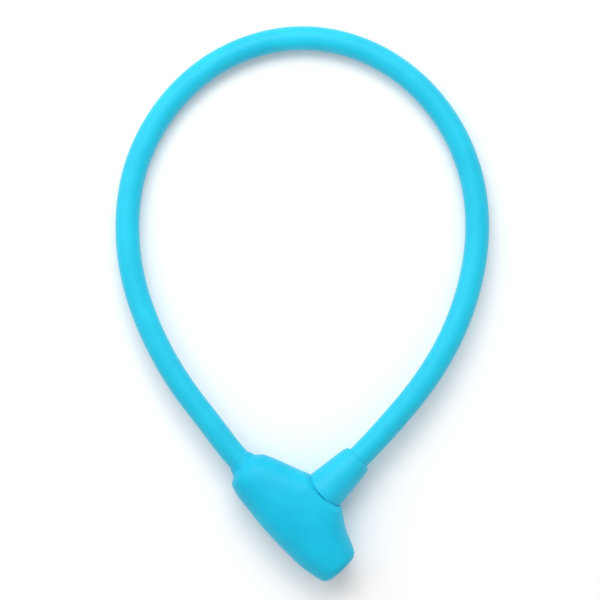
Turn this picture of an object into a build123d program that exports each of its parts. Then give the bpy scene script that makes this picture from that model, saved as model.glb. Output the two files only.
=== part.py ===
from build123d import *

import math
import os

# Key-operated bicycle cable lock: a soft-skinned lock head with a steel cable loop that plugs
# back into its side. Sizes are in millimetres. The loop lies in the XY plane and rests on z = 0.
#
# The lock head is drawn in its own frame and then placed: u runs along the head from the cable
# end to the key end, v runs out of the side port along the locking bolt, and w is up. The frame's
# origin is where the bolt axis crosses the cylinder axis, half way up the head.

os.makedirs("parts", exist_ok=True)

# ---------------------------------------------------------------- driving dimensions
HEAD_X, HEAD_Y = -3.825, -107.955    # origin of the head frame
HEAD_Z = 13.0                        # height of that origin above the resting plane
HEAD_TURN = -46.0                    # direction of u, degrees from +X
HEAD_AT = Location((HEAD_X, HEAD_Y, HEAD_Z), (0, 0, HEAD_TURN))

GAP = 0.05                           # assembly gap between fixed parts
PIN_FIT = 0.01                       # radial clearance round a pressed pin
FAR = 60                             # reach of trimming blocks, beyond the whole head

SADDLE_R = 21.0                      # rounded crown of the skin above the port, about u
PORT_FACE = 17.9                     # v of the housing's port face
PORT_OPEN_R = 10.75                  # opening in the skin around the port
KEY_OPEN_R = 6.6                     # opening in the skin over the key cylinder
CUFF_ROOT_R, CUFF_TIP_R, CUFF_LEN = 7.5, 6.75, 5.0    # skin cuff round the entering cable
CASE_NECK_R = 8.8                    # round neck from the inner case to the port

SCREW_R, SCREW_HOLE_R = 1.25, 1.27
SCREW_HEAD_R, SCREW_HEAD_HOLE_R, SCREW_HEAD_H = 2.3, 2.35, 1.4
SCREW_SOCKET_R, SCREW_SOCKET_DEPTH = 1.05, 0.9

BARREL_R, BARREL_START, BARREL_END = 7.5, 14.0, 32.9
ROLL_PIN_R, ROLL_PIN_U, ROLL_PIN_V = 0.99, 24.0, -7.35
PLUG_R, PLUG_BORE_R, PLUG_HEAD_R = 5.0, 5.05, 6.25
TAIL_R, TAIL_FLAT, TAIL_FIT = 2.0, 1.3, 0.03          # drive tail, height of its flat, cam fit
KEYWAY_HALF_V, KEYWAY_HALF_W = 1.1, 3.9
WAFERS = ((17.0, -0.5), (19.7, 0.4), (22.4, 0.0), (25.1, 0.6), (27.8, -0.3))  # u, window offset
WAFER_T, WAFER_HALF = 1.0, 3.15
DRILL_PIN_R, DRILL_PIN_V = 0.75, 3.5                  # anti-drill pins either side of the keyway
SHUTTER_U, HINGE_V, HINGE_R = 31.35, 1.5, 0.3         # keyway shutter and its hinge pin
SHUTTER_HALF_T, SHUTTER_HALF_W = 0.2, 3.7

CAM_THROW, CAM_PIN_R = 1.6, 1.0
CAM_ANGLE = math.radians(45)         # cam pin position, measured from v towards w
CAM_PIN_V = CAM_THROW * math.cos(CAM_ANGLE)
CAM_PIN_W = CAM_THROW * math.sin(CAM_ANGLE)
LATCH_TRAVEL = 2 * CAM_PIN_W
LATCH_HALF_T, LATCH_HALF_H = 1.3, 6.9
LATCH_HOLE_R = 5.25

BOLT_R, BOLT_BORE_R, BOLT_TIP = 5.0, 5.06, -8.5
NECK_R, NECK_HALF = 2.85, 1.5        # groove the latch drops into
BUSH_R, BUSH_START = 6.8, 8.0
CROSS_PIN_R, CROSS_PIN_V = 1.0, 28.8

CABLE_R, CORE_R = 6.0, 3.3           # silicone sheath, steel cable
FIXED_V = 0.6                        # v of the fixed cable end
ANCHOR_R, ANCHOR_U = 1.25, -20.5     # pin through the fixed ferrule
BOOT_START, BOOT_END = 18.05, 44.2   # tapered boot over the free end
BOOT_START_R, BOOT_END_R = 10.55, 8.0

LOOP_Z = 6.005                       # cable centre height where the loop rests on the ground
LOOP_X, LOOP_Y = 0.075, 0.195        # puts the origin at the middle of the overall box
DESCENT_START, DESCENT_LEN = -74.0, 184.0             # y span where the loop eases down
LOOP_TOP_Y = 132.6
LOOP_TOP_GAP = 0.03                  # each half stops this far short of the top

# Inner case, stepped along u: u, radius
CASE = (
    (-33.3, 7.8), (-32.5, 8.6), (-27.5, 8.6), (-26.2, 9.6), (-19.4, 9.6), (-17.0, 11.0),
    (17.0, 11.0), (19.4, 9.6), (27.0, 9.6), (28.4, 8.6), (31.1, 8.6), (31.9, 7.8),
)

# Lock head sections: u, reach to -v, reach to +v, half height, fullness of the +v half
HEAD = (
    (-35.3, 10.0, 10.6, 9.6, 2.10),
    (-31.5, 11.5, 12.5, 10.8, 2.15),
    (-27.0, 12.5, 14.6, 11.7, 2.25),
    (-22.0, 13.0, 16.5, 12.3, 2.40),
    (-17.0, 13.4, 18.4, 12.8, 2.70),
    (-12.0, 13.9, 20.6, 13.1, 3.30),
    (-7.0, 14.25, 22.7, 13.35, 4.15),
    (-2.0, 14.4, 23.9, 13.4, 4.90),
    (3.0, 14.5, 24.0, 13.4, 5.00),
    (8.0, 14.45, 22.9, 13.4, 4.20),
    (13.0, 14.3, 20.2, 13.2, 3.10),
    (18.0, 14.05, 16.8, 12.85, 2.50),
    (23.0, 13.4, 14.1, 12.2, 2.25),
    (28.5, 12.25, 11.9, 11.1, 2.15),
    (33.8, 10.2, 9.3, 9.3, 2.10),
)
LOW_FULL = 2.1                       # fullness of the -v half
SECTION_POINTS = 24

# Loop centre line in plan, x and y, from the head or the boot round towards the top
LEFT_LEG = (
    (-45.25, -61.45), (-59.4, -42.85), (-75.0, -15.6), (-84.5, 11.3), (-87.65, 38.75),
    (-84.0, 66.0), (-72.4, 91.5), (-53.6, 112.8), (-28.6, 127.3),
)
RIGHT_LEG = (
    (42.6, -61.8), (58.3, -43.0), (74.9, -15.5), (84.2, 11.4), (87.5, 38.75),
    (83.8, 66.0), (72.3, 91.4), (53.6, 112.6), (28.8, 127.2),
)


# ---------------------------------------------------------------- helpers
def u_cyl(radius, start, end, v=0.0, w=0.0):
    return Pos((start + end) / 2, v, w) * Rot(0, 90, 0) * Cylinder(radius, end - start)


def v_cyl(radius, start, end, u=0.0, w=0.0):
    return Pos(u, (start + end) / 2, w) * Rot(90, 0, 0) * Cylinder(radius, end - start)


def w_cyl(radius, start, end, u=0.0, v=0.0):
    return Pos(u, v, (start + end) / 2) * Cylinder(radius, end - start)


def block(u0, u1, v0, v1, w0, w1):
    centre = Pos((u0 + u1) / 2, (v0 + v1) / 2, (w0 + w1) / 2)
    return centre * Box(u1 - u0, v1 - v0, w1 - w0)


def v_revolve(profile):
    """Turn a closed (radius, v) outline about the v axis."""
    return revolve(make_face(Polyline(*profile, close=True)), axis=Axis.Y)


def u_revolve(profile):
    """Turn a closed (u, radius) outline about the u axis."""
    return revolve(make_face(Polyline(*profile, close=True)), axis=Axis.X)


def swept(path, radius, is_frenet=False):
    disc = Plane(origin=path @ 0, z_dir=path % 0) * Circle(radius)
    return sweep(disc, path=path, is_frenet=is_frenet)


def coil(radius, wire_r, height, turns):
    """An open compression spring standing on w = 0."""
    rise = height - 2 * wire_r
    path = Helix(pitch=rise / turns, height=rise, radius=radius)
    return Pos(0, 0, wire_r) * swept(path, wire_r, is_frenet=True)


def save(name, shape):
    export_step(shape, f"parts/{name}.step")


def save_head(name, shape):
    """Place a shape drawn in the head frame and save it."""
    save(name, HEAD_AT * shape)


# ---------------------------------------------------------------- head skin
def signed_power(value, exponent):
    return math.copysign(abs(value) ** exponent, value)


def head_form():
    """Loft through superellipse sections, each half with its own reach and fullness."""
    wires = []
    for u, low, high, half, full in HEAD:
        points = []
        for k in range(SECTION_POINTS):
            angle = 2 * math.pi * (k + 0.5) / SECTION_POINTS
            across, up = math.cos(angle), math.sin(angle)
            reach, fullness = (high, full) if across > 0 else (low, LOW_FULL)
            exponent = 2 / fullness
            points.append((u, reach * signed_power(across, exponent),
                           half * signed_power(up, exponent)))
        wires.append(Wire(Spline(*points, periodic=True)))
    return Solid.make_loft(wires)


def case_form(grow):
    """The inner case's outside, grown by a gap except at the port face."""
    start, end = CASE[0][0] - grow, CASE[-1][0] + grow
    profile = [(u, radius + grow) for u, radius in CASE]
    profile[0] = (start, profile[0][1])
    profile[-1] = (end, profile[-1][1])
    body = u_revolve([(start, 0)] + profile + [(end, 0)])
    return body + v_cyl(CASE_NECK_R + grow, 0, PORT_FACE)


outer = head_form()
for side, radius in ((1, 4.0), (-1, 2.4)):                      # key end, then cable end
    outer = fillet([edge for edge in outer.edges()
                    if edge.bounding_box().size.X < 0.01 and side * edge.center().X > 0], radius)
outer = outer & u_cyl(SADDLE_R, -FAR, FAR)
outer = outer & block(-FAR, FAR, -FAR, FAR, -HEAD_Z, FAR)       # flat underside
head_start = HEAD[0][0]
cuff_tip = head_start - CUFF_LEN
outer += Pos(0, FIXED_V, 0) * u_revolve((
    (cuff_tip, 0), (cuff_tip, CUFF_TIP_R - 0.4), (cuff_tip + 0.3, CUFF_TIP_R),
    (head_start - 0.3, CUFF_ROOT_R), (-33.5, CUFF_ROOT_R), (-33.5, 0)))

skin = outer - case_form(GAP)
skin -= v_cyl(PORT_OPEN_R, PORT_FACE, 40.0)
skin -= u_cyl(KEY_OPEN_R, 31.0, 40.0)
skin -= u_cyl(BARREL_R + 0.1, 31.0, BARREL_END + 0.1)
skin -= u_cyl(CABLE_R + GAP, -42.0, -33.0, FIXED_V)
save_head("head_skin", skin)

# ---------------------------------------------------------------- housing
# u, v, w of the head seat, w of the tip
SCREWS = [(u, side * spread, seat, top)
          for u, spread, seat, top in ((-9.85, 5.5, -6.0, 7.0), (11.4, 7.9, -2.3, 5.6))
          for side in (-1, 1)]

cavities = [
    u_cyl(BARREL_R + GAP, BARREL_START - 0.1, 40.0),                # key cylinder
    u_cyl(5.75, 9.8, BARREL_START),                                 # cam and clip
    block(-7.6, 9.9, -1.5, 1.5, -9.6, 7.4),                         # latch plate
    block(5.9, 9.9, -3.7, 4.9, -7.0, 5.0),                          # latch yoke
    w_cyl(1.75, 7.0, 10.2),                                         # latch spring
    v_cyl(BOLT_BORE_R, -9.3, 20.0),                                 # locking bolt
    v_cyl(BUSH_R + GAP, BUSH_START - 0.1, 20.0),                    # port bush
    u_cyl(CABLE_R + GAP, -40.0, -26.9, FIXED_V),                    # cable sheath
    u_cyl(5.25, -27.0, -14.6, FIXED_V),                             # fixed ferrule
    u_cyl(6.7, -14.7, -12.1, FIXED_V),                              # ferrule flange
    w_cyl(ANCHOR_R + PIN_FIT, -8.1, 8.1, ANCHOR_U, FIXED_V),
    w_cyl(ROLL_PIN_R + 0.02, -4.5, 4.5, ROLL_PIN_U, ROLL_PIN_V),
]
for u, v, seat, top in SCREWS:
    cavities += [w_cyl(SCREW_HOLE_R, seat - 1, top + 0.1, u, v),
                 w_cyl(SCREW_HEAD_HOLE_R, -20, seat, u, v)]
case = case_form(0)
for cavity in cavities:
    case -= cavity
split = 0.02                                                        # half the joint gap
save_head("housing_upper", case & block(-FAR, FAR, -FAR, FAR, split, FAR))
save_head("housing_lower", case & block(-FAR, FAR, -FAR, FAR, -FAR, -split))

screws = []
for u, v, seat, top in SCREWS:
    head_bottom = seat - SCREW_HEAD_H
    screw = w_cyl(SCREW_R, seat, top, u, v)
    screw += w_cyl(SCREW_HEAD_R, head_bottom, seat - 0.01, u, v)
    screw += w_cyl(1.0, seat - 0.1, seat + 0.1, u, v)               # joins shank and head
    screw -= Pos(u, v, head_bottom) * extrude(RegularPolygon(SCREW_SOCKET_R, 6),
                                              amount=SCREW_SOCKET_DEPTH)
    screws.append(screw)
save_head("housing_screws", Compound(screws))

# ---------------------------------------------------------------- key cylinder
counterbore_r = PLUG_HEAD_R + 0.06
barrel = u_revolve((
    (BARREL_START, PLUG_BORE_R), (BARREL_START, BARREL_R), (BARREL_END - 0.4, BARREL_R),
    (BARREL_END, BARREL_R - 0.4), (BARREL_END, counterbore_r), (31.3, counterbore_r),
    (31.3, PLUG_BORE_R)))
for turn in (0, 90):
    barrel -= Rot(turn, 0, 0) * block(15.9, 29.0, -3.4, 3.4, -6.1, 6.1)     # wafer grooves
barrel -= w_cyl(ROLL_PIN_R + 0.04, -9, 9, ROLL_PIN_U, ROLL_PIN_V)
save_head("cylinder_barrel", barrel)

roll_pin = w_cyl(ROLL_PIN_R, -4.4, 4.4, ROLL_PIN_U, ROLL_PIN_V)
roll_pin -= w_cyl(0.6, -9, 9, ROLL_PIN_U, ROLL_PIN_V)
roll_pin -= block(ROLL_PIN_U - 0.3, ROLL_PIN_U + 0.3, -9.5, ROLL_PIN_V, -9, 9)
save_head("barrel_roll_pin", roll_pin)

plug = u_revolve((
    (11.1, 0), (11.1, TAIL_R), (12.3, TAIL_R), (12.3, 4.0),                 # drive tail
    (12.9, 4.0), (12.9, 3.2), (13.6, 3.2), (13.6, 4.0),                     # clip groove
    (BARREL_START, 4.0), (BARREL_START, PLUG_R), (31.36, PLUG_R),
    (31.36, PLUG_HEAD_R), (32.5, PLUG_HEAD_R), (32.8, PLUG_HEAD_R - 0.3), (32.8, 0)))
plug -= block(10, 12.3, -4, 4, TAIL_FLAT, 4)
keyway = block(14.8, 40, -KEYWAY_HALF_V, KEYWAY_HALF_V, -KEYWAY_HALF_W, KEYWAY_HALF_W)
keyway -= block(14.8, 28.6, 0.45, 2, 0.6, 2.4)                              # ward
plug -= keyway
for u, _ in WAFERS:
    plug -= block(u - 0.53, u + 0.53, -WAFER_HALF - 0.05, WAFER_HALF + 0.05, -6, 6)
    plug -= block(u - 0.62, u + 0.62, WAFER_HALF - 0.1, 4.42, -2.1, 1.5)    # tab and spring
plug -= block(28.6, 31.95, 1.0, 2.05, -KEYWAY_HALF_W, KEYWAY_HALF_W)        # shutter pocket
plug -= w_cyl(HINGE_R + PIN_FIT, -4.6, 4.6, SHUTTER_U, HINGE_V)
for side in (-1, 1):
    plug -= u_cyl(DRILL_PIN_R + PIN_FIT, 29.2, 40, side * DRILL_PIN_V)
save_head("key_plug", plug)

save_head("anti_drill_pins", Compound([
    u_cyl(DRILL_PIN_R, 29.25, 32.75, side * DRILL_PIN_V) for side in (-1, 1)]))

wafers = []
for u, offset in WAFERS:
    start, end = u - WAFER_T / 2, u + WAFER_T / 2
    wafer = block(start, end, -WAFER_HALF, WAFER_HALF, -6, 6) & u_cyl(PLUG_R - 0.05, u - 2, u + 2)
    wafer += block(start, end, WAFER_HALF - 0.3, 4.35, -0.5, 0.5)           # spring tab
    wafer -= block(u - 2, u + 2, -1.45, 1.45, -3.2 + offset, 3.2 + offset)  # key window
    wafers.append(wafer)
save_head("wafer_tumblers", Compound(wafers))
save_head("wafer_springs", Compound([
    Pos(u, 3.78, -2.08) * coil(0.4, 0.075, 1.56, 5) for u, _ in WAFERS]))

clip = u_cyl(5.5, 12.95, 13.55) - u_cyl(3.25, 12, 14) - block(12, 14, -2.6, 2.6, -7, 0)
save_head("plug_retaining_clip", clip)

tail_socket = u_cyl(TAIL_R + TAIL_FIT, 11.0, 13.0)
tail_socket -= block(10, 13, -4, 4, TAIL_FLAT + TAIL_FIT, 4)
cam = u_cyl(4.6, 10.0, 12.2) - tail_socket
cam += u_cyl(CAM_PIN_R, 6.7, 10.5, CAM_PIN_V, CAM_PIN_W)
save_head("plug_cam", cam)

shutter = block(SHUTTER_U - SHUTTER_HALF_T, SHUTTER_U + SHUTTER_HALF_T, -1.0, HINGE_V,
                -SHUTTER_HALF_W, SHUTTER_HALF_W)
shutter += w_cyl(0.5, -SHUTTER_HALF_W, SHUTTER_HALF_W, SHUTTER_U, HINGE_V)
shutter -= w_cyl(HINGE_R + 0.02, -5, 5, SHUTTER_U, HINGE_V)
shutter -= block(30, 32, 0.4, 2.3, 2.6, 3.8)                                # room for its spring
save_head("keyway_shutter", shutter)
save_head("shutter_pin", w_cyl(HINGE_R, -4.55, 4.55, SHUTTER_U, HINGE_V))
save_head("shutter_spring", Pos(SHUTTER_U, HINGE_V, 2.7) * coil(0.42, 0.06, 0.9, 5))

# ---------------------------------------------------------------- latch
latch = block(-7.0, 9.5, -LATCH_HALF_T, LATCH_HALF_T, -LATCH_HALF_H, LATCH_HALF_H)
latch = fillet([edge for edge in latch.edges().filter_by(Axis.Y) if edge.center().X < 0], 3.0)
latch = fillet([edge for edge in latch.edges().filter_by(Axis.Y) if edge.center().X > 5], 1.5)
latch += block(6.3, 9.5, -3.2, 4.4, -4.2, 4.2)                              # yoke
latch -= v_cyl(LATCH_HOLE_R, -5, 5)
countersink = v_revolve(((0, 0.9), (LATCH_HOLE_R, 0.9), (LATCH_HOLE_R + 0.8, 1.7), (0, 1.7)))
latch -= countersink & block(-6.1, 5.8, -5, 5, -6.2, 6.2)
latch -= block(6.0, 9.9,                                                    # cam pin slot
               CAM_PIN_V - CAM_PIN_R - 0.15, CAM_THROW + CAM_PIN_R + 0.15,
               CAM_PIN_W - CAM_PIN_R - 0.07 - LATCH_TRAVEL, CAM_PIN_W + CAM_PIN_R + 0.07)
latch += w_cyl(0.8, LATCH_HALF_H - 0.5, LATCH_HALF_H + 1.1)                 # spring peg
save_head("latch_plate", latch)
save_head("latch_spring", Pos(0, 0, LATCH_HALF_H + 0.02) * coil(1.3, 0.22, 3.2, 4))

# ---------------------------------------------------------------- locking bolt and boot
bush = v_cyl(BUSH_R, BUSH_START, PORT_FACE - 0.02) - v_cyl(BOLT_BORE_R, 7, 19)
save_head("port_bush", bush)

bolt = v_revolve((
    (0, BOLT_TIP), (3.2, BOLT_TIP), (BOLT_R, BOLT_TIP + 1.8),
    (BOLT_R, -NECK_HALF - 0.5), (NECK_R, -NECK_HALF),                       # latch groove
    (NECK_R, NECK_HALF), (BOLT_R, NECK_HALF + 0.3),
    (BOLT_R, 12.5), (3.58, 12.5), (3.58, 14.1), (BOLT_R, 14.1),             # seal groove
    (BOLT_R, 18.1), (7.2, 18.1), (7.2, 19.6),                               # flange
    (6.4, 19.8), (6.4, 24.0), (6.15, 24.3), (6.15, 25.7), (6.4, 26.0),      # grooved socket
    (6.4, 31.5), (6.15, 31.8), (6.15, 33.2), (6.4, 33.5), (6.4, 35.7), (6.1, 36.0),
    (CORE_R + GAP, 36.0), (CORE_R + GAP, 21.0), (0, 21.0)))
cross_hole = w_cyl(CROSS_PIN_R + PIN_FIT, -10, 10, 0, CROSS_PIN_V)
bolt -= cross_hole
save_head("locking_bolt", bolt)
save_head("bolt_seal_ring", Pos(0, 13.3, 0) * Rot(90, 0, 0) * Torus(4.3, 0.7))
save_head("bolt_cross_pin", w_cyl(CROSS_PIN_R, -6.2, 6.2, 0, CROSS_PIN_V))

boot = v_revolve((
    (7.3, BOOT_START), (BOOT_START_R - 0.6, BOOT_START), (BOOT_START_R, BOOT_START + 0.6),
    (BOOT_START_R, 20.5), (BOOT_END_R + 0.3, 39.8), (BOOT_END_R, 41.4),
    (BOOT_END_R - 0.55, 42.9), (CABLE_R + 0.9, 43.9), (CABLE_R + 0.35, BOOT_END),
    (CABLE_R + GAP, BOOT_END), (CABLE_R + GAP, 36.1), (6.45, 36.1), (6.45, 19.95), (7.3, 19.7)))
save_head("bolt_boot", boot)

# ---------------------------------------------------------------- fixed end of the cable
ferrule = u_revolve((
    (-26.5, CORE_R + GAP), (-26.5, 4.9), (-26.2, 5.2),
    (-24.8, 5.2), (-24.5, 4.95), (-23.5, 4.95), (-23.2, 5.2),               # outer grooves
    (-17.8, 5.2), (-17.5, 4.95), (-16.5, 4.95), (-16.2, 5.2),
    (-14.65, 5.2), (-14.65, 6.6), (-12.2, 6.6), (-12.2, 0),                 # flange
    (-13.3, 0), (-13.3, CORE_R + GAP)))
ferrule -= w_cyl(ANCHOR_R + PIN_FIT, -10, 10, ANCHOR_U, 0)
save_head("fixed_end_ferrule", Pos(0, FIXED_V, 0) * ferrule)
save_head("ferrule_anchor_pin", w_cyl(ANCHOR_R, -8.0, 8.0, ANCHOR_U, FIXED_V))


# ---------------------------------------------------------------- cable
def loop_z(y):
    """Cable centre height, easing from the head's down to the resting height."""
    progress = min(1.0, max(0.0, (y - DESCENT_START) / DESCENT_LEN))
    return LOOP_Z + (HEAD_Z - LOOP_Z) * (0.5 + 0.5 * math.cos(math.pi * progress))


def turned(u, v):
    """A head frame direction in x and y."""
    angle = math.radians(HEAD_TURN)
    return (u * math.cos(angle) - v * math.sin(angle), u * math.sin(angle) + v * math.cos(angle))


def loop_path(start_points, leg, start_dir, side):
    """From inside a fitting, up one leg, to just short of the top of the loop."""
    points = []
    for u, v in start_points:
        x, y = turned(u, v)
        points.append((HEAD_X + x, HEAD_Y + y, HEAD_Z))
    points += [(x + LOOP_X, y + LOOP_Y, loop_z(y)) for x, y in leg]
    points.append((LOOP_X + side * LOOP_TOP_GAP, LOOP_TOP_Y + LOOP_Y, LOOP_Z))
    return Spline(*points, tangents=[(*turned(*start_dir), 0), (-side, 0, 0)])


def fixed_path(*stations):
    return loop_path([(u, FIXED_V) for u in stations], LEFT_LEG, (-1, 0), -1)


def free_path(*stations):
    return loop_path([(0, v) for v in stations], RIGHT_LEG, (0, 1), 1)


# half, sheath centre line, core centre line, pin hole through the core
CABLE_HALVES = (
    ("fixed", fixed_path(-26.95, -31.0, -35.5, -40.5),
     fixed_path(-13.4, -20.0, -27.0, -31.0, -35.5, -40.5),
     w_cyl(ANCHOR_R + PIN_FIT, -10, 10, ANCHOR_U, FIXED_V)),
    ("free", free_path(36.15, 40.0, BOOT_END),
     free_path(21.1, 28.0, 36.15, 40.0, BOOT_END), cross_hole),
)
for half, sheath_path, core_path, pin_hole in CABLE_HALVES:
    sheath = swept(sheath_path, CABLE_R) - swept(core_path, CORE_R + GAP)
    save(f"cable_sheath_{half}_half", sheath)
    save(f"steel_cable_{half}_half", swept(core_path, CORE_R) - HEAD_AT * pin_hole)
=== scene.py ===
"""A silicone-covered cable lock lying flat on a white floor.

The row frame is in millimetres with +Z up; meshes are stored in metres. The lock head is at
the -Y end and the cable loops round through +Y. The head has its own frame (u, v, w): u runs
from the fixed end of the cable to the key opening, v runs out to the free end of the cable,
and w is up.
"""
import math

import bpy
import numpy as np
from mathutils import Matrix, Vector


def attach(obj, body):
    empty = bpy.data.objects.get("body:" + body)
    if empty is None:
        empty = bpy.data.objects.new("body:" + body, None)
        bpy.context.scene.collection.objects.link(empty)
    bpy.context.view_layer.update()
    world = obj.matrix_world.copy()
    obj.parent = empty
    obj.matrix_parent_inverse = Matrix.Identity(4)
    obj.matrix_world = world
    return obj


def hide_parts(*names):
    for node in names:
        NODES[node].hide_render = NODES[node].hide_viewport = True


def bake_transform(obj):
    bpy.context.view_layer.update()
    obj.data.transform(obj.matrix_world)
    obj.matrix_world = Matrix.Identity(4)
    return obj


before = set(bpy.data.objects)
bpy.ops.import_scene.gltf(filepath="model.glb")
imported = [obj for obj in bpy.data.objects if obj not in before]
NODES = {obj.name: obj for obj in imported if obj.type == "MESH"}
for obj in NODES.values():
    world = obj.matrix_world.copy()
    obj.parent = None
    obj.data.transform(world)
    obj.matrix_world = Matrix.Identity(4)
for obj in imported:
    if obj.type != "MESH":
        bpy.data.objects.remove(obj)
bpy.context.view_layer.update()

SCENE = bpy.context.scene

# ---------------------------------------------------------------- head frame, mm
HEAD_CENTRE = np.array((-3.825, -107.955, 13.0))
HEAD_TURN = math.radians(-46.0)
U_DIR = np.array((math.cos(HEAD_TURN), math.sin(HEAD_TURN), 0.0))
V_DIR = np.array((-math.sin(HEAD_TURN), math.cos(HEAD_TURN), 0.0))
W_DIR = np.array((0.0, 0.0, 1.0))
HEAD_AXES = np.array((U_DIR, V_DIR, W_DIR))

# ---------------------------------------------------------------- shared sizes, mm
CABLE_RADIUS = 6.0
CORE_RADIUS = 3.3
FIXED_V = 0.6          # v of the cable where it enters the head at its fixed end
BOOT_MOUTH_V = 44.2    # where the cable enters the boot

# ---------------------------------------------------------------- mesh fineness
SKIN_VOXEL = 0.00042    # metres
SKIN_SMOOTH_ROUNDS = 12
CUFF_RELAX_ROUNDS = 18
SHEATH_STEP = 0.8
SHEATH_SIDES = 96
STRAND_STEP = 0.9
STRAND_SIDES = 10


def in_row(points):
    """Head frame to row frame."""
    return HEAD_CENTRE + np.asarray(points, float) @ HEAD_AXES


def in_head(points):
    """Row frame to head frame."""
    return (np.asarray(points, float) - HEAD_CENTRE) @ HEAD_AXES.T


def unit(vectors):
    return vectors / np.linalg.norm(vectors, axis=1)[:, None]


def bell(values, centre, width):
    """1 at the centre, falling smoothly to 0 on both sides."""
    return np.exp(-((values - centre) / width) ** 2)


def path_lengths(points):
    """Distance along a path to each of its points."""
    return np.concatenate(([0], np.cumsum(np.linalg.norm(np.diff(points, axis=0), axis=1))))


# ---------------------------------------------------------------- mesh helpers
def shade_smooth(mesh):
    mesh.polygons.foreach_set("use_smooth", [True] * len(mesh.polygons))


def vertex_vectors(mesh, field):
    values = np.zeros(len(mesh.vertices) * 3)
    mesh.vertices.foreach_get(field, values)
    return values.reshape(-1, 3)


def place_vertices(mesh, points_mm):
    mesh.vertices.foreach_set("co", (points_mm / 1000).ravel())
    mesh.update()


def make_object(name, points_mm, faces, material, uvs=None, smooth=True):
    mesh = bpy.data.meshes.new(name)
    points = [tuple(point) for point in np.asarray(points_mm, float) / 1000.0]
    mesh.from_pydata(points, [], [tuple(int(i) for i in face) for face in faces])
    mesh.update()
    if uvs is not None:
        layer = mesh.uv_layers.new(name="UVMap")
        corners = np.zeros(len(mesh.loops), int)
        mesh.loops.foreach_get("vertex_index", corners)
        layer.data.foreach_set("uv", np.asarray(uvs, np.float32)[corners].ravel())
    if smooth:
        shade_smooth(mesh)
    mesh.materials.append(material)
    obj = bpy.data.objects.new(name, mesh)
    SCENE.collection.objects.link(obj)
    return obj


def ring_angles(sides):
    return np.linspace(0, 2 * math.pi, sides, endpoint=False)


def band_faces(first_a, first_b, sides):
    """Quads between two closed rings, given the first vertex of each."""
    here = np.arange(sides)
    after = (here + 1) % sides
    return np.stack((first_a + here, first_a + after, first_b + after, first_b + here), -1)


def tube_faces(rings, sides, first=0):
    """Quads over consecutive closed rings."""
    starts = [first + ring * sides for ring in range(rings)]
    return np.concatenate([band_faces(a, b, sides) for a, b in zip(starts, starts[1:])])


def lathe(name, outline, sides, along, across, material):
    """A ring-shaped solid: a closed (radius, along) outline turned about an axis of the head."""
    outline = np.asarray(outline, float)
    angles = ring_angles(sides)
    ring = np.cos(angles)[:, None] * across + np.sin(angles)[:, None] * W_DIR
    radius = outline[:, 0][:, None, None]
    distance = outline[:, 1][:, None, None]
    points = (HEAD_CENTRE + distance * along + radius * ring[None]).reshape(-1, 3)
    closing = band_faces((len(outline) - 1) * sides, 0, sides)
    faces = np.concatenate((tube_faces(len(outline), sides), closing))
    run = path_lengths(outline)[:, None] / 1000
    turn = (angles / (2 * math.pi))[None]
    uvs = np.stack(np.broadcast_arrays(run, turn), -1).reshape(-1, 2)
    return make_object(name, points, faces, material, uvs)


def round_outline(table, steps):
    """Round the corners of a closed outline of (radius, along, corner radius) rows."""
    points = [np.array(row[:2], float) for row in table]
    rounded = []
    for i, (corner, row) in enumerate(zip(points, table)):
        back = points[i - 1] - corner
        ahead = points[(i + 1) % len(points)] - corner
        back_length, ahead_length = np.linalg.norm(back), np.linalg.norm(ahead)
        angle = math.acos(back @ ahead / back_length / ahead_length)
        cut = min(row[2] / math.tan(angle / 2), 0.49 * back_length, 0.49 * ahead_length)
        start = corner + back / back_length * cut
        end = corner + ahead / ahead_length * cut
        for step in range(steps + 1):
            t = step / steps
            rounded.append((1 - t) ** 2 * start + 2 * t * (1 - t) * corner + t**2 * end)
    return rounded


def subdivide_outline(points, longest):
    """Extra points wherever a closed outline has a run over the longest allowed."""
    fine = []
    for i, start in enumerate(points):
        run = points[(i + 1) % len(points)] - start
        pieces = max(1, int(math.ceil(np.linalg.norm(run) / longest)))
        fine += [start + run * piece / pieces for piece in range(pieces)]
    return fine


# ---------------------------------------------------------------- shader helpers
def new_material(name):
    material = bpy.data.materials.new(name)
    material.use_nodes = True
    return material


def lighter(colour, gain, lift):
    return tuple(min(1.0, channel * gain + lift) for channel in colour)


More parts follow.
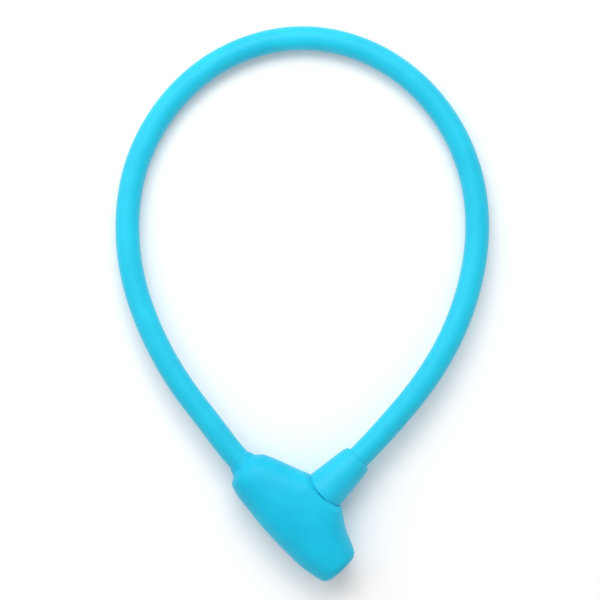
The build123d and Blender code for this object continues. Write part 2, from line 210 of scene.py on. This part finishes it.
class Shader:
    """A material under construction. Its patterns lie in object space, in metres."""

    def __init__(self, name):
        self.material = new_material(name)
        self.tree = self.material.node_tree
        self.coords = self.tree.nodes.new("ShaderNodeTexCoord").outputs
        self.normal = None

    def feed(self, socket, value):
        if isinstance(value, bpy.types.NodeSocket):
            self.tree.links.new(value, socket)
        elif socket.type == "RGBA":
            socket.default_value = (*value, 1.0)
        else:
            socket.default_value = value

    def add(self, kind, output, inputs=None, **settings):
        """Add a node and return one of its outputs."""
        node = self.tree.nodes.new("ShaderNode" + kind)
        for setting, value in settings.items():
            setattr(node, setting, value)
        for socket, value in (inputs or {}).items():
            self.feed(node.inputs[socket], value)
        return node.outputs[output]

    def noise(self, scale, detail, roughness=0.5, vector=None):
        return self.add("TexNoise", "Fac", {
            "Scale": scale, "Detail": detail, "Roughness": roughness,
            "Vector": vector or self.coords["Object"]})

    def ramp(self, value, source, target):
        """Map the source range to the target range, clamped."""
        return self.add("MapRange", "Result", {
            "From Min": source[0], "From Max": source[1],
            "To Min": target[0], "To Max": target[1], "Value": value}, clamp=True)

    def tint(self, base, colour, mask, source, amount=1.0):
        """Blend the base towards a colour, by up to amount as the mask crosses the range."""
        factor = self.ramp(mask, source, (0.0, amount))
        # 6, 7 and 2 are the colour sockets A, B and Result of the Mix node
        return self.add("Mix", 2, {"Factor": factor, 6: base, 7: colour}, data_type="RGBA")

    def bump(self, height, strength, distance):
        """Add relief on top of any laid down so far."""
        inputs = {"Strength": strength, "Distance": distance, "Height": height}
        if self.normal is not None:
            inputs["Normal"] = self.normal
        self.normal = self.add("Bump", "Normal", inputs)

    def finish(self, **surface):
        """Set the surface inputs, named with underscores for spaces, and return the material."""
        bsdf = self.tree.nodes["Principled BSDF"]
        for socket, value in surface.items():
            self.feed(bsdf.inputs[socket.replace("_", " ")], value)
        self.feed(bsdf.inputs["Normal"], self.normal)
        return self.material


# ---------------------------------------------------------------- materials
def silicone(name, deep, light, specular, sheen, painted_sheen_amount, drawn_lines=False):
    """Soft-touch silicone: even colour, a painted sheen that lightens it towards grazing angles,
    and fine eggshell grain.
    """
    shader = Shader(name)
    patches = shader.noise(scale=38.0, detail=3.0, roughness=0.55)
    mottle = shader.noise(scale=420.0, detail=4.0, roughness=0.6)
    grain = shader.noise(scale=3400.0, detail=2.0)
    pebble = shader.noise(scale=900.0, detail=3.0, roughness=0.55)
    specks = shader.noise(scale=5200.0, detail=1.0, roughness=0.4)
    # painted sheen: facing ratio used to lighten the colour towards grazing angles
    painted_sheen_facing = shader.add("LayerWeight", "Facing", {"Blend": 0.32})
    edges = shader.add("NewGeometry", "Pointiness")
    dimples = shader.add("TexVoronoi", "Distance", {
        "Scale": 1500.0, "Vector": shader.coords["Object"]}, feature="SMOOTH_F1")

    colour = shader.tint(deep, light, mask=patches, source=(0.35, 0.68))
    for mask, source, amount, over in (
            (mottle, (0.52, 0.78), 0.10, lighter(light, gain=1.10, lift=0.02)),
            # painted sheen: lighter colour towards grazing angles, standing in for reflected
            # light
            (painted_sheen_facing, (0.25, 1.0), painted_sheen_amount, lighter(light, gain=0.9, lift=0.12)),
            (edges, (0.52, 0.62), 0.16, lighter(light, gain=1.08, lift=0.03)),
            (specks, (0.70, 0.76), 0.20, (0.30, 0.72, 0.86))):
        colour = shader.tint(colour, over, mask=mask, source=source, amount=amount)

    roughness = shader.add("Math", 0, {
        0: shader.ramp(patches, source=(0.3, 0.7), target=(0.44, 0.54)),
        1: shader.ramp(mottle, source=(0.3, 0.7), target=(-0.03, 0.04))}, operation="ADD")

    shader.bump(dimples, strength=0.22, distance=0.00012)
    shader.bump(grain, strength=0.45, distance=0.00006)
    shader.bump(pebble, strength=0.35, distance=0.00014)
    shader.bump(patches, strength=0.16, distance=0.0006)
    if drawn_lines:
        # Noise drawn out along the length of the cable
        stretched = shader.add("Mapping", "Vector", {
            "Scale": (12.0, 190.0, 1.0), "Vector": shader.coords["UV"]})
        lines = shader.noise(scale=1.0, detail=3.0, roughness=0.6, vector=stretched)
        shader.bump(lines, strength=0.35, distance=0.00012)

    return shader.finish(
        Base_Color=colour, Roughness=roughness, Specular_IOR_Level=specular,
        Subsurface_Weight=0.12, Subsurface_Radius=(0.25, 0.9, 1.3), Subsurface_Scale=0.0012,
        Sheen_Weight=sheen, Sheen_Roughness=0.45, Sheen_Tint=(0.75, 0.95, 1.0))


def metal(name, colour, dark, roughness, turned_about=None):
    """Metal with a slight colour drift, rubbed edges and, if turned, tool marks on its axis."""
    shader = Shader(name)
    tone = shader.noise(scale=160.0, detail=4.0, roughness=0.6)
    fine = shader.noise(scale=2600.0, detail=3.0, roughness=0.6)
    edges = shader.add("NewGeometry", "Pointiness")
    base = shader.tint(dark, colour, mask=tone, source=(0.3, 0.7))
    rubbed = lighter(colour, gain=1.15, lift=0.06)
    base = shader.tint(base, rubbed, mask=edges, source=(0.51, 0.60), amount=0.5)
    shader.bump(fine, strength=0.12, distance=0.00003)
    if turned_about is not None:
        to_x = Vector(turned_about).rotation_difference(Vector((1, 0, 0))).to_euler()
        aligned = shader.add("Mapping", "Vector", {
            "Rotation": to_x, "Vector": shader.coords["Object"]})
        marks = shader.add("TexWave", "Fac", {
            "Scale": 950.0, "Distortion": 1.2, "Detail": 2.0, "Vector": aligned},
            wave_type="BANDS", bands_direction="X")
        shader.bump(marks, strength=0.10, distance=0.00002)
    sheen_drift = shader.ramp(
        tone, source=(0.25, 0.75), target=(roughness - 0.06, roughness + 0.08))
    return shader.finish(Base_Color=base, Metallic=1.0, Roughness=sheen_drift)


def plastic(name, colour, dark, roughness):
    """Plastic or rubber with a fine sparkle-like grain."""
    shader = Shader(name)
    tone = shader.noise(scale=120.0, detail=3.0)
    grain = shader.noise(scale=1500.0, detail=3.0, roughness=0.6)
    shader.bump(grain, strength=0.25, distance=0.00005)
    return shader.finish(
        Base_Color=shader.tint(dark, colour, mask=tone, source=(0.3, 0.7)),
        Roughness=shader.ramp(
            grain, source=(0.3, 0.7), target=(roughness - 0.05, roughness + 0.07)))


SKIN = silicone(
    "skin_silicone", deep=(0.0003, 0.445, 0.665), light=(0.0008, 0.510, 0.735),
    specular=0.24, sheen=0.06, painted_sheen_amount=0.05)
SHEATH = silicone(
    "sheath_silicone", deep=(0.0008, 0.480, 0.680), light=(0.0030, 0.545, 0.750),
    specular=0.32, sheen=0.16, painted_sheen_amount=0.14, drawn_lines=True)
BOOT = silicone(
    "boot_silicone", deep=(0.0004, 0.460, 0.670), light=(0.0012, 0.520, 0.745),
    specular=0.36, sheen=0.08, painted_sheen_amount=0.06)
STEEL = metal(
    "nickel_plated_steel", colour=(0.74, 0.74, 0.75), dark=(0.60, 0.60, 0.62),
    roughness=0.27, turned_about=V_DIR)
HARD = metal(
    "hardened_steel", colour=(0.34, 0.34, 0.36), dark=(0.22, 0.22, 0.24), roughness=0.38)
SPRING = metal(
    "spring_steel", colour=(0.62, 0.62, 0.64), dark=(0.48, 0.48, 0.50), roughness=0.28)
ZINC = metal(
    "zinc_casting", colour=(0.56, 0.57, 0.59), dark=(0.43, 0.44, 0.46),
    roughness=0.42, turned_about=U_DIR)
BRASS = metal(
    "turned_brass", colour=(0.76, 0.56, 0.24), dark=(0.62, 0.43, 0.16),
    roughness=0.30, turned_about=U_DIR)
WIRE = metal(
    "galvanised_wire", colour=(0.60, 0.61, 0.63), dark=(0.44, 0.45, 0.47), roughness=0.40)
CASE = plastic(
    "case_nylon", colour=(0.028, 0.030, 0.034), dark=(0.018, 0.019, 0.022), roughness=0.48)
ACETAL = plastic(
    "acetal", colour=(0.72, 0.72, 0.69), dark=(0.64, 0.64, 0.61), roughness=0.36)
NITRILE = plastic(
    "nitrile_rubber", colour=(0.016, 0.016, 0.016), dark=(0.010, 0.010, 0.010),
    roughness=0.62)

# CAD piece: material
FINISHES = {
    "housing_upper": CASE, "housing_lower": CASE, "housing_screws": HARD,
    "cylinder_barrel": ZINC, "barrel_roll_pin": SPRING, "key_plug": BRASS,
    "wafer_tumblers": BRASS, "wafer_springs": SPRING, "anti_drill_pins": HARD,
    "keyway_shutter": SPRING, "shutter_pin": HARD, "shutter_spring": SPRING,
    "plug_retaining_clip": SPRING, "plug_cam": ZINC, "latch_plate": HARD,
    "latch_spring": SPRING, "locking_bolt": STEEL, "bolt_seal_ring": NITRILE,
    "bolt_cross_pin": HARD, "port_bush": ACETAL, "fixed_end_ferrule": STEEL,
    "ferrule_anchor_pin": HARD, "steel_cable_fixed_half": WIRE,
    "steel_cable_free_half": WIRE, "cable_sheath_fixed_half": SHEATH,
    "cable_sheath_free_half": SHEATH, "bolt_boot": BOOT, "head_skin": SKIN,
}
SHARP_ANGLE = math.radians(32)


def finish_cad_pieces():
    for name, material in FINISHES.items():
        piece = NODES[name]
        if not piece.material_slots:
            piece.data.materials.append(material)
        for slot in piece.material_slots:
            slot.material = material
        shade_smooth(piece.data)
        piece.data.set_sharp_from_angle(angle=SHARP_ANGLE)


# ---------------------------------------------------------------- head skin
SEAM_HEIGHT, SEAM_WIDTH = 0.16, 0.42
SEAM_MIN_RADIUS = 8.5       # no seam nearer the u axis than this
RIPPLE_HEIGHT = 0.035
CUFF_END_U = -35.5          # where the cuff round the cable meets the end of the head
CUFF_FILL = 0.95            # depth of the hollow at that corner
CUFF_PUSH_OUT, CUFF_PUSH_U = 0.75, -0.66
CUFF_INNER_RADIUS = 6.5     # the bore within this stays as it is
SKIN_LOWEST_Z = 0.02


def remeshed_skin():
    """A remeshed copy of the CAD skin with its edges relaxed."""
    skin = bpy.data.objects.new("head_skin_moulded", NODES["head_skin"].data.copy())
    SCENE.collection.objects.link(skin)
    weld = skin.modifiers.new("weld", "WELD")
    weld.merge_threshold = 0.00002
    remesh = skin.modifiers.new("remesh", "REMESH")
    remesh.mode = "VOXEL"
    remesh.voxel_size = SKIN_VOXEL
    remesh.use_smooth_shade = True
    smooth = skin.modifiers.new("smooth", "SMOOTH")
    smooth.factor = 0.5
    smooth.iterations = SKIN_SMOOTH_ROUNDS
    bpy.context.view_layer.update()
    evaluated = skin.evaluated_get(bpy.context.evaluated_depsgraph_get())
    baked = bpy.data.meshes.new_from_object(evaluated)
    skin.modifiers.clear()
    skin.data = baked
    return skin


def surface_relief(points, normals):
    """Height of the parting seam at mid height, plus a faint ripple."""
    u, v, w = in_head(points).T
    normal_v, normal_w = (normals @ HEAD_AXES.T)[:, 1:].T
    radius = np.hypot(v, w)
    outward = np.clip((normal_v * v + normal_w * w) / (radius + 1e-6) * 2, 0, 1)
    seam = bell(w, 0, SEAM_WIDTH) * outward * (radius > SEAM_MIN_RADIUS)
    ripple = RIPPLE_HEIGHT * np.sin(u * 0.21 + 1.3) * np.cos(v * 0.17 + w * 0.13) * outward
    return SEAM_HEIGHT * seam + ripple


def soften_cuff(mesh, points):
    """Fill and relax the corner where the cuff meets the end of the head."""
    about = in_head(points)
    about[:, 1] -= FIXED_V
    u = about[:, 0]
    radius = np.hypot(about[:, 1], about[:, 2])
    fill = CUFF_FILL * bell(u, CUFF_END_U, 1.5) * bell(radius, 7.7, 1.3)
    fill *= radius > CUFF_INNER_RADIUS
    push = about / (radius[:, None] + 1e-9) * CUFF_PUSH_OUT
    push[:, 0] = CUFF_PUSH_U
    points += (push * fill[:, None]) @ HEAD_AXES

    edges = np.zeros(len(mesh.edges) * 2, int)
    mesh.edges.foreach_get("vertices", edges)
    edges = edges.reshape(-1, 2)
    neighbours = np.bincount(edges.ravel(), minlength=len(points))[:, None]
    fade_in = np.clip((radius - CUFF_INNER_RADIUS) / 0.3, 0, 1)
    fade_out = np.clip((10.4 - radius) / 1.0, 0, 1)
    weight = (bell(u, -35.4, 2.0) * fade_in * fade_out)[:, None]
    for _ in range(CUFF_RELAX_ROUNDS):
        total = np.zeros_like(points)
        np.add.at(total, edges[:, 0], points[edges[:, 1]])
        np.add.at(total, edges[:, 1], points[edges[:, 0]])
        points += 0.6 * weight * (total / neighbours - points)


def build_head_skin():
    skin = remeshed_skin()
    mesh = skin.data
    points = vertex_vectors(mesh, "co") * 1000
    normals = vertex_vectors(mesh, "normal")
    points += normals * surface_relief(points, normals)[:, None]
    soften_cuff(mesh, points)
    points[:, 2] = np.maximum(points[:, 2], SKIN_LOWEST_Z)
    place_vertices(mesh, points)
    mesh.materials.clear()
    mesh.materials.append(SKIN)
    shade_smooth(mesh)
    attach(skin, "lock_head")
    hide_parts("head_skin")


# ---------------------------------------------------------------- bead round the key opening
# radius, u, corner radius
BEAD_OUTLINE = (
    (6.6, 33.06, 0.25), (6.6, 34.02, 0.42), (8.1, 34.02, 0.6),
    (8.5, 33.5, 0.5), (8.3, 33.06, 0.15),
)


def build_key_bead():
    outline = round_outline(BEAD_OUTLINE, steps=6)
    bead = lathe("key_opening_bead", outline, 144, along=U_DIR, across=V_DIR, material=SKIN)
    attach(bead, "lock_head")


# ---------------------------------------------------------------- boot over the free end
# radius, v, corner radius: up the outside, then back along the bore
BOOT_OUTLINE = (
    (7.35, 18.1, 0.1), (10.55, 18.1, 0.75), (10.58, 20.6, 3.5), (8.32, 39.8, 4.0),
    (8.0, 42.0, 2.2), (7.15, 43.9, 0.8), (6.04, BOOT_MOUTH_V, 0.12),
    (6.04, 36.3, 0.2), (6.5, 36.3, 0.2), (6.5, 20.0, 0.2), (7.35, 19.7, 0.1),
)
BOOT_LONGEST_RUN = 0.6
BOOT_SEAM_HEIGHT, BOOT_SEAM_WIDTH = 0.11, 0.32
BOOT_SEAM_MIN_RADIUS = 6.8    # keeps the seam off the bore


def build_boot():
    outline = subdivide_outline(round_outline(BOOT_OUTLINE, steps=7), BOOT_LONGEST_RUN)
    boot = lathe("bolt_boot_moulded", outline, 128, along=V_DIR, across=U_DIR, material=BOOT)
    # Raised mould parting lines at mid height on both sides
    points = in_head(vertex_vectors(boot.data, "co") * 1000)
    radial = points * (1, 0, 1)
    radius = np.linalg.norm(radial, axis=1)
    seam = BOOT_SEAM_HEIGHT * bell(points[:, 2], 0, BOOT_SEAM_WIDTH)
    seam *= radius > BOOT_SEAM_MIN_RADIUS
    points += radial / radius[:, None] * seam[:, None]
    place_vertices(boot.data, in_row(points))
    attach(boot, "free_end")
    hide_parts("bolt_boot")


# ---------------------------------------------------------------- cable path
# x, y of the loop from the head's fixed end, up the -X side and down the +X side
LOOP_PLAN = (
    (-45.25, -61.45), (-59.4, -42.85), (-75.0, -15.6), (-84.5, 11.3), (-87.65, 38.75),
    (-84.0, 66.0), (-72.4, 91.5), (-53.6, 112.8), (-28.6, 127.3),
    (0.0, 132.6),
    (28.8, 127.2), (53.6, 112.6), (72.3, 91.4), (83.8, 66.0), (87.5, 38.75),
    (84.2, 11.4), (74.9, -15.5), (58.3, -43.0), (42.6, -61.8),
)
LOOP_SHIFT_X, LOOP_SHIFT_Y = 0.075, 0.195
LOOP_REST_Z = 6.005                   # centre height where the loop lies on the floor
DESCENT_Y, DESCENT_LENGTH = -74.0, 184.0
# u stations at the fixed end and v stations at the free end
SHEATH_FIXED_U = (-26.95, -31.0, -35.5, -40.5)
SHEATH_FREE_V = (BOOT_MOUTH_V, 40.0, 36.2)
CORE_FIXED_U = (-13.4, -20.0, -27.0, -31.0, -35.5, -40.5)
CORE_FREE_V = (BOOT_MOUTH_V, 40.0, 36.15, 28.0, 21.1)
SPAN_SAMPLES = 120


def loop_z(y):
    """Height of the loop, easing down from the head to the floor."""
    t = np.clip((y - DESCENT_Y) / DESCENT_LENGTH, 0, 1)
    drop = HEAD_CENTRE[2] - LOOP_REST_Z
    return LOOP_REST_Z + drop * (0.5 + 0.5 * np.cos(math.pi * t))


def spline(points, step, start, end):
    """A smooth curve with set end directions: points about a step apart, and their distances."""
    p = np.asarray(points, float)
    h = np.linalg.norm(np.diff(p, axis=0), axis=1)
    count = len(p)
    # Solve for the slope at each point that keeps the curvature continuous
    matrix = np.zeros((count, count))
    target = np.zeros((count, 3))
    matrix[0, 0] = matrix[-1, -1] = 1
    target[0], target[-1] = start, end
    for i in range(1, count - 1):
        matrix[i, i - 1:i + 2] = h[i], 2 * (h[i - 1] + h[i]), h[i - 1]
        target[i] = 3 * (h[i] * (p[i] - p[i - 1]) / h[i - 1]
                         + h[i - 1] * (p[i + 1] - p[i]) / h[i])
    slope = np.linalg.solve(matrix, target)
    fine = []
    for i in range(count - 1):
        t = np.linspace(0, 1, SPAN_SAMPLES, endpoint=i == count - 2)[:, None]
        fine.append((2 * t**3 - 3 * t**2 + 1) * p[i]
                    + (t**3 - 2 * t**2 + t) * h[i] * slope[i]
                    + (-2 * t**3 + 3 * t**2) * p[i + 1]
                    + (t**3 - t**2) * h[i] * slope[i + 1])
    fine = np.concatenate(fine)
    lengths = path_lengths(fine)
    even = np.linspace(0, lengths[-1], int(round(lengths[-1] / step)) + 1)
    return np.stack([np.interp(even, lengths, fine[:, axis]) for axis in range(3)], 1), even


def centre_line(fixed_u, free_v, step):
    points = [in_row((u, FIXED_V, 0.0)) for u in fixed_u]
    points += [np.array((x + LOOP_SHIFT_X, y + LOOP_SHIFT_Y, loop_z(y))) for x, y in LOOP_PLAN]
    points += [in_row((0, v, 0.0)) for v in free_v]
    return spline(points, step, -U_DIR, -V_DIR)


def cross_axes(path):
    """Side and up directions at each point of a curve that stays close to level."""
    tangent = unit(np.gradient(path, axis=0))
    side = unit(np.cross(tangent, W_DIR))
    return side, np.cross(side, tangent)


def flex(obj):
    """Bake the object's transform into its mesh."""
    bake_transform(obj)


# ---------------------------------------------------------------- cable sheath
SHEATH_UNDERSIZE = 0.02
SHEATH_DRIFT = 0.02                            # slow random change in radius
GROOVE_DEPTH, GROOVE_WIDTH = 0.05, 0.05        # fine line along each side; width is a sine
BORE_CLEARANCE = 0.06


def build_sheath():
    line, distances = centre_line(SHEATH_FIXED_U, SHEATH_FREE_V, SHEATH_STEP)
    side, up = cross_axes(line)
    rows, sides = len(line), SHEATH_SIDES
    angles = ring_angles(sides)
    random = np.random.default_rng(7)
    drift = np.convolve(random.normal(0, 1, rows + 60), np.hanning(61) / 30.0, "valid")
    groove = GROOVE_DEPTH * bell(np.sin(angles), 0, GROOVE_WIDTH)
    radius = CABLE_RADIUS - SHEATH_UNDERSIZE + SHEATH_DRIFT * drift[:, None] - groove[None]
    ring = (np.cos(angles)[None, :, None] * side[:, None]
            + np.sin(angles)[None, :, None] * up[:, None])
    outer = line[:, None] + ring * radius[..., None]
    bore = line[::-1, None] + ring[::-1] * (CORE_RADIUS + BORE_CLEARANCE)
    points = np.concatenate((outer.reshape(-1, 3), bore.reshape(-1, 3)))

    faces = [tube_faces(rows, sides, first)[:, ::-1] for first in (0, rows * sides)]
    here = np.arange(sides)
    after = (here + 1) % sides
    # Close the wall at the free end, then at the fixed end
    for row_a, row_b in ((rows - 1, rows), (2 * rows - 1, 0)):
        a, b = row_a * sides, row_b * sides
        faces.append(np.stack((a + here, b + here, b + after, a + after), -1))

    vertex_distances = np.repeat(np.concatenate((distances, distances[::-1])), sides)
    around = np.tile(np.abs(angles / math.pi - 1), 2 * rows)
    uvs = np.stack((vertex_distances / 1000, around), 1)
    sheath = make_object("cable_sheath", points, np.concatenate(faces), SHEATH, uvs)
    flex(sheath)
    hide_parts("cable_sheath_fixed_half", "cable_sheath_free_half")


# ---------------------------------------------------------------- steel cable
LAID_STRANDS = 6
LAY_LENGTH = 30.0       # length of one full twist
STRAND_RADIUS = 1.06
LAID_RADIUS = 2.15      # centre of the cable to the centre of a laid strand


def build_strands():
    """One straight strand and six laid round it, each a capped tube."""
    core, distances = centre_line(CORE_FIXED_U, CORE_FREE_V, STRAND_STEP)
    core_side, core_up = cross_axes(core)
    angles = ring_angles(STRAND_SIDES)
    here = np.arange(STRAND_SIDES)
    after = (here + 1) % STRAND_SIDES
    paths = [core]
    for strand in range(1, LAID_STRANDS + 1):
        phase = 2 * math.pi * (distances / LAY_LENGTH + strand / LAID_STRANDS)
        paths.append(core + LAID_RADIUS * (np.cos(phase)[:, None] * core_side
                                           + np.sin(phase)[:, None] * core_up))
    points, faces = [], []
    first = 0
    for path in paths:
        side, up = cross_axes(path)
        tube = path[:, None] + STRAND_RADIUS * (np.cos(angles)[None, :, None] * side[:, None]
                                                + np.sin(angles)[None, :, None] * up[:, None])
        points += [tube.reshape(-1, 3), path[[0, -1]]]
        last_ring = first + (len(path) - 1) * STRAND_SIDES
        start_cap = last_ring + STRAND_SIDES
        end_cap = start_cap + 1
        faces.extend(tube_faces(len(path), STRAND_SIDES, first)[:, ::-1])
        faces.extend((start_cap, first + a, first + b) for a, b in zip(here, after))
        faces.extend((end_cap, last_ring + b, last_ring + a) for a, b in zip(here, after))
        first = end_cap + 1
    strands = make_object("steel_cable_strands", np.concatenate(points), faces, WIRE)
    flex(strands)
    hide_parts("steel_cable_fixed_half", "steel_cable_free_half")


# ---------------------------------------------------------------- stage, light and camera
FLOOR_HALF, FLOOR_Z = 3000.0, -0.02    # mm
# The camera looks straight down; metres
CAMERA_X, CAMERA_Y, CAMERA_HEIGHT = -0.001175, 0.001445, 1.30
VIEW_WIDTH, VIEW_WIDTH_Z = 0.300, 0.010    # width in view at this height
SENSOR_WIDTH = 36.0                        # mm


def build_floor():
    material = new_material("stage_white")
    inputs = material.node_tree.nodes["Principled BSDF"].inputs
    inputs["Base Color"].default_value = (0.93, 0.93, 0.935, 1)
    inputs["Roughness"].default_value = 0.75
    corners = [(x * FLOOR_HALF, y * FLOOR_HALF, FLOOR_Z) for y in (-1, 1) for x in (-1, 1)]
    floor = make_object("stage_floor", corners, [(0, 1, 3, 2)], material, smooth=False)


def build_world():
    world = bpy.data.worlds.new("studio")
    SCENE.world = world
    world.use_nodes = True
    inputs = world.node_tree.nodes["Background"].inputs
    inputs["Color"].default_value = (1.0, 1.0, 1.0, 1)
    inputs["Strength"].default_value = 0.66


def area_light(name, location, target, size, power):
    data = bpy.data.lights.new(name, "AREA")
    data.shape = "RECTANGLE"
    data.size, data.size_y = size
    data.energy = power
    lamp = bpy.data.objects.new(name, data)
    SCENE.collection.objects.link(lamp)
    lamp.location = location
    lamp.rotation_mode = "QUATERNION"
    lamp.rotation_quaternion = (Vector(target) - Vector(location)).to_track_quat("-Z", "Y")


def build_camera():
    data = bpy.data.cameras.new("camera")
    data.sensor_width = SENSOR_WIDTH
    data.lens = SENSOR_WIDTH * (CAMERA_HEIGHT - VIEW_WIDTH_Z) / VIEW_WIDTH
    data.clip_start, data.clip_end = 0.05, 20.0
    camera = bpy.data.objects.new("camera", data)
    SCENE.collection.objects.link(camera)
    camera.location = (CAMERA_X, CAMERA_Y, CAMERA_HEIGHT)
    SCENE.camera = camera
    SCENE.view_settings.view_transform = "Standard"
    SCENE.view_settings.look = "None"


finish_cad_pieces()
build_head_skin()
build_key_bead()
build_boot()
build_sheath()
build_strands()
build_floor()
build_world()
area_light("key_soft", location=(-0.02, 0.70, 0.90), target=(0.0, 0.0, 0.0),
           size=(0.9, 0.65), power=7.9)
area_light("fill_left", location=(-0.62, 0.34, 0.62), target=(0.0, -0.06, 0.0),
           size=(0.35, 0.7), power=2.0)
build_camera()

bpy.context.view_layer.update()
